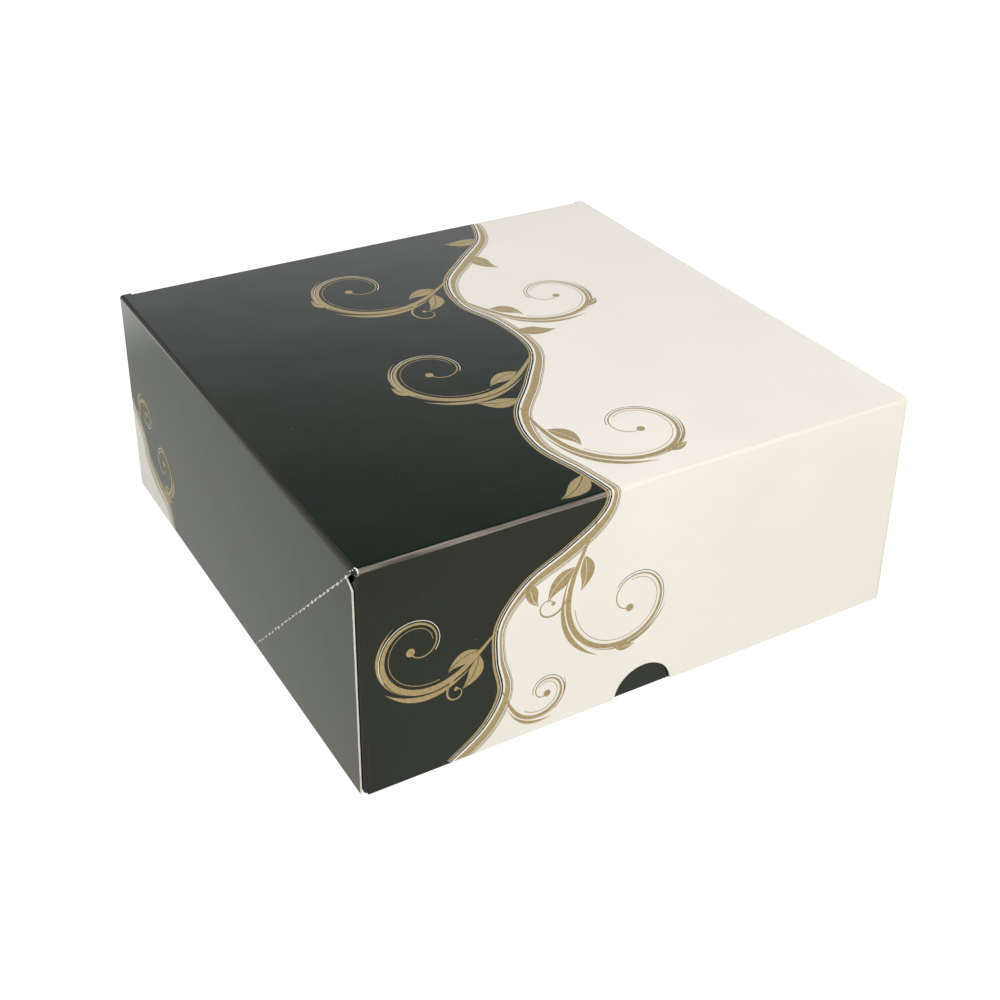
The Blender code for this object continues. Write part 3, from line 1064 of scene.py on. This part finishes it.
flecks = []
flat_u = 1000 * lid_blank.flat_u
corner_v = 1000 * lid_blank.ends[0].start_v
for side in (-1, 1):
    along = math.atan2(1, side)
    for number in range(1, int(PERFORATED / PITCH) + 1):
        middle = number * PITCH
        size = FIRST_TEAR - TEAR_FADE * middle / PERFORATED
        # A patch over the cut, crumbs round it, and a cracked line over the board left between two cuts
        patches = [(dice.uniform(-0.4, 0.4), dice.uniform(1.3, 2.3), dice.uniform(0.7, 1.1))]
        for _ in range(dice.randint(1, 2)):
            patches.append((dice.uniform(-1.5, 1.5), dice.uniform(0.5, 1.2), dice.uniform(0.3, 0.6)))
        patches.append((-PITCH / 2, dice.uniform(1.2, 3.4), 0.26))
        for shift, length, width in patches:
            down = (middle + shift) / math.sqrt(2)
            off = dice.uniform(-0.16, 0.16)
            x = side * (flat_u + down + off)
            y = -(corner_v - down + off)
            flecks.append(torn_fleck(x, y, length * size, width * size, along))
    # The burst corner, where the sheet tears between its three folds: each patch's bearing in degrees
    # from straight out to the side, and its distance, length and width
    for bearing, reach, length, width in (
        (95, 2.3, 0.5, 0.4),
        (138, 1.7, 1.1, 0.6),
        (165, 1.7, 1.2, 0.75),
        (192, 1.6, 1.2, 0.8),
        (219, 1.6, 1.1, 0.6),
        (250, 0.9, 0.6, 0.5),
        (300, 1.8, 0.9, 0.7),
    ):
        angle = math.radians(bearing) + dice.uniform(-0.1, 0.1)
        x = side * (flat_u - 1.3 + reach * math.cos(angle))
        y = -(corner_v + 1.1 + reach * math.sin(angle))
        flecks.append(torn_fleck(x, y, length, width, angle * -side + math.pi / 2))
# The thumb notch's edge, where the print is worn off the rim
notch_rim = 1000 * np.array(thumb_notch(front_edge_y))[FILLET_STEPS - 1 : 1 - FILLET_STEPS]
flecks.append(ribbon(notch_rim, lambda t: -0.02, lambda t: -RIM_WEAR))

bare_fibres = bare_board("torn_white_fibres", "e8e4dc", "faf8f4", 1800, 0.95)
torn_cuts = die_cut("torn_perforations", flecks, top_z, top_z + FIBRE, GOLD_LAYER)
give_finishes(torn_cuts, [bare_fibres])
fold(torn_cuts, lid_blank)
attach(torn_cuts, "lid")

# The glue lines.
# Six beads of white dispersion glue, pressed flat between gusset and tab: clear at the thin edges and
# milky where they are thick.
glue, tree, shader, place = new_finish("dispersion_glue", 0.3, 1.46)
milk = add(tree, "TexNoise", {"Scale": 420, "Detail": 3}, {"Vector": place})
tree.links.new(cloudy_colour(tree, milk.outputs["Fac"], "dcd5bd", "efeada"), shader.inputs["Base Color"])
beads = add(tree, "Bump", {"Strength": 0.3, "Distance": 0.0001}, {"Height": milk.outputs["Fac"]})
tree.links.new(beads.outputs["Normal"], shader.inputs["Normal"])
for name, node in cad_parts.items():
    if name.endswith("_glue"):
        for slot in node.material_slots:
            slot.material = glue

# The table.
# A matt white table top. The camera sees it as white paper on which the box keeps a faint shadow, and as
# a light on the box it is plain pale card. The box's gloss mirrors it warm in front, dimmer further back
# and bright well behind the box.
deselect_all()
bpy.ops.mesh.primitive_plane_add(size=14)
table = bpy.context.object
table.name = "table"
card = bpy.data.materials.new("matt_white_card")
card.use_nodes = True
tree = card.node_tree
tree.nodes.clear()
ray = add(tree, "LightPath").outputs
place = add(tree, "TexCoord").outputs["Object"]
depth = add(tree, "SeparateXYZ", None, {"Vector": place}).outputs["Y"]
# From 0.3 m in front of the box's middle to 0.6 m behind it
depth = add(tree, "MapRange", {"From Min": -0.3, "From Max": 0.6}, {"Value": depth})
mirrored = add(tree, "ValToRGB", None, {"Fac": depth.outputs[0]})
ramp = mirrored.color_ramp
ramp.elements[0].position = 0.1
ramp.elements[0].color = (0.98, 0.86, 0.69, 1)
ramp.elements[1].position = 0.8
ramp.elements[1].color = (2.3, 2.35, 2.3, 1)
ramp.elements.new(0.25).color = (0.84, 0.85, 0.77, 1)
ramp.elements.new(0.62).color = (0.7, 0.71, 0.68, 1)
seen = add(
    tree, "Math", None, {0: ray["Is Camera Ray"], 1: ray["Is Transmission Ray"]}, operation="MAXIMUM"
)
plain = add(tree, "BsdfDiffuse", {"Color": (0.64, 0.64, 0.63, 1)})
shaded = add(tree, "BsdfDiffuse", {"Color": (0.35, 0.35, 0.34, 1)})
glow = add(tree, "Emission", {"Color": (1, 1, 1, 1), "Strength": 0.88})
white = add(tree, "AddShader", None, {0: shaded.outputs[0], 1: glow.outputs[0]})
lit = add(tree, "MixShader", None, {"Fac": seen.outputs[0], 1: plain.outputs[0], 2: white.outputs[0]})
glossy = add(tree, "Emission", None, {"Color": mirrored.outputs["Color"]})
surface = add(
    tree, "MixShader", None, {"Fac": ray["Is Glossy Ray"], 1: lit.outputs[0], 2: glossy.outputs[0]}
)
add(tree, "OutputMaterial", None, {"Surface": surface.outputs[0]})
table.data.materials.append(card)

# The studio.
# White to the camera. To the box it is a bright wall, dimmer in front, that fades to a dark ceiling, and
# the black lid mirrors that. Three soft boxes stand in front, over the front and at the left.
world = bpy.data.worlds.new("studio")
bpy.context.scene.world = world
world.use_nodes = True
tree = world.node_tree
tree.nodes.clear()
direction = add(tree, "TexCoord").outputs["Generated"]
bearing = add(tree, "SeparateXYZ", None, {"Vector": direction}).outputs
fade = add(tree, "ValToRGB", None, {"Fac": bearing["Z"]})
ramp = fade.color_ramp
ramp.elements[0].position = 0.0
ramp.elements[0].color = (1.3, 1.3, 1.3, 1)
ramp.elements[1].position = 1.0
ramp.elements[1].color = (0.1, 0.1, 0.1, 1)
# How bright the wall is at each height, which is given as the sine of its angle over the horizon
for position, level in (
    (0.4, 1.35),
    (0.42, 0.8),
    (0.434, 0.66),
    (0.448, 0.5),
    (0.485, 0.38),
    (0.526, 0.27),
    (0.574, 0.16),
    (0.65, 0.1),
):
    ramp.elements.new(position).color = (level, level, level, 1)
behind = add(
    tree, "MapRange", {"From Min": -0.4, "From Max": 0.4, "To Min": 0.3}, {"Value": bearing["Y"]}
)
wall = add(
    tree, "Mix", {6: (0, 0, 0, 1)}, {0: behind.outputs[0], 7: fade.outputs[0]}, data_type="RGBA"
)
ray = add(tree, "LightPath").outputs
seen = add(
    tree, "Math", None, {0: ray["Is Camera Ray"], 1: ray["Is Transmission Ray"]}, operation="MAXIMUM"
)
shown = add(tree, "Mix", {7: (1, 1, 1, 1)}, {0: seen.outputs[0], 6: wall.outputs[2]}, data_type="RGBA")
sky = add(tree, "Background", None, {"Color": shown.outputs[2]})
add(tree, "OutputWorld", None, {"Surface": sky.outputs[0]})

# Each soft box: its name, place, width and power. All face the middle of the box.
AIM = (0, 0, 0.05)
for name, place, size, power in (
    ("front_soft_box", (-0.1, -1.4, 1.15), 0.9, 13.4),
    ("top_soft_box", (-0.2, -0.75, 1.45), 1.2, 15.1),
    ("side_soft_box", (-1.3, 0.5, 0.7), 0.8, 3.5),
):
    lamp = bpy.data.lights.new(name, "AREA")
    lamp.shape = "SQUARE"
    lamp.size = size
    lamp.energy = power
    stand = bpy.data.objects.new(name, lamp)
    bpy.context.scene.collection.objects.link(stand)
    away = np.array(place) - np.array(AIM)
    stand.location = place
    stand.rotation_euler = (
        math.acos(away[2] / np.linalg.norm(away)),
        0,
        math.atan2(away[1], away[0]) + math.pi / 2,
    )

# The camera, at the photo's viewing angle.
# Columns of its place: to its right, up, back towards the eye, and where the eye is.
camera = bpy.data.objects.new("camera", bpy.data.cameras.new("camera"))
bpy.context.scene.collection.objects.link(camera)
camera.data.lens = 52.46
camera.data.sensor_width = 36
camera.matrix_world = Matrix(
    (
        (0.86285359, -0.50513932, 0.01783108, 0),
        (0.26178336, 0.47678601, 0.83913323, 0),
        (-0.43238079, -0.71938124, 0.54363359, 0),
        (-0.28547, -0.48124, 0.38357, 1),
    )
).transposed()
bpy.context.scene.camera = camera
bpy.context.scene.view_settings.view_transform = "Standard"

bpy.context.view_layer.update()
